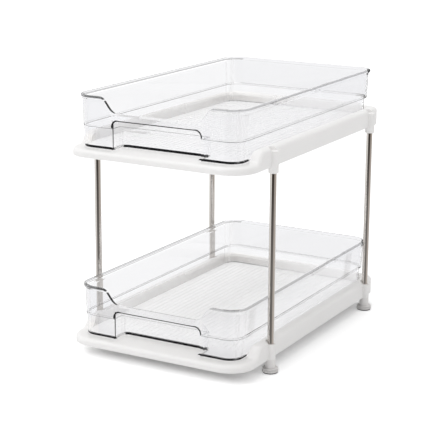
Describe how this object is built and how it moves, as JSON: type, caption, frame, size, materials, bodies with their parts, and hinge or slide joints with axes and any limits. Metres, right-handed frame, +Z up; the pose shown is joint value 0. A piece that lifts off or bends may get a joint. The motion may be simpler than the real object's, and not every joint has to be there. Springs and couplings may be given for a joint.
{
  "type": "under sink organizer",
  "caption": "Two-level free-standing pull-out organizer: clear drawers with finger pockets slide in white trays held one above the other by slim metal posts.",
  "frame": {"origin": "middle of the footprint, on the floor the pads stand on", "axes": "+Z up, -Y toward the front where the drawers pull out, +X to the right seen from the front"},
  "size_m": [0.2668, 0.3964, 0.3276],
  "materials": {
    "white_plastic": "satin white moulding",
    "clear_plastic": "clear, polished",
    "post_steel": "bright drawn tube",
    "collar_plastic": "satin",
    "pad_rubber": "matte"
  },
  "bodies": {
    "stand": {"lower_tray": "white_plastic", "upper_tray": "white_plastic", "post_front_left": "post_steel", "post_front_right": "post_steel", "post_rear_left": "post_steel", "post_rear_right": "post_steel", "sleeve_front_left": "white_plastic", "sleeve_front_right": "white_plastic", "sleeve_rear_left": "white_plastic", "sleeve_rear_right": "white_plastic", "collar_front_left": "collar_plastic", "collar_front_right": "collar_plastic", "collar_rear_left": "collar_plastic", "collar_rear_right": "collar_plastic", "foot_front_left": "white_plastic", "foot_front_right": "white_plastic", "foot_rear_left": "white_plastic", "foot_rear_right": "white_plastic", "pad_front_left": "pad_rubber", "pad_front_right": "pad_rubber", "pad_rear_left": "pad_rubber", "pad_rear_right": "pad_rubber"},
    "lower_drawer": {"lower_drawer": "clear_plastic"},
    "upper_drawer": {"upper_drawer": "clear_plastic"}
  },
  "joints": [
    {"name": "lower_drawer_slide", "type": "slide", "parent": "stand", "child": "lower_drawer", "axis": [0, -1, 0], "range_m": [0, 0.2]},
    {"name": "upper_drawer_slide", "type": "slide", "parent": "stand", "child": "upper_drawer", "axis": [0, -1, 0], "range_m": [0, 0.2]}
  ]
}
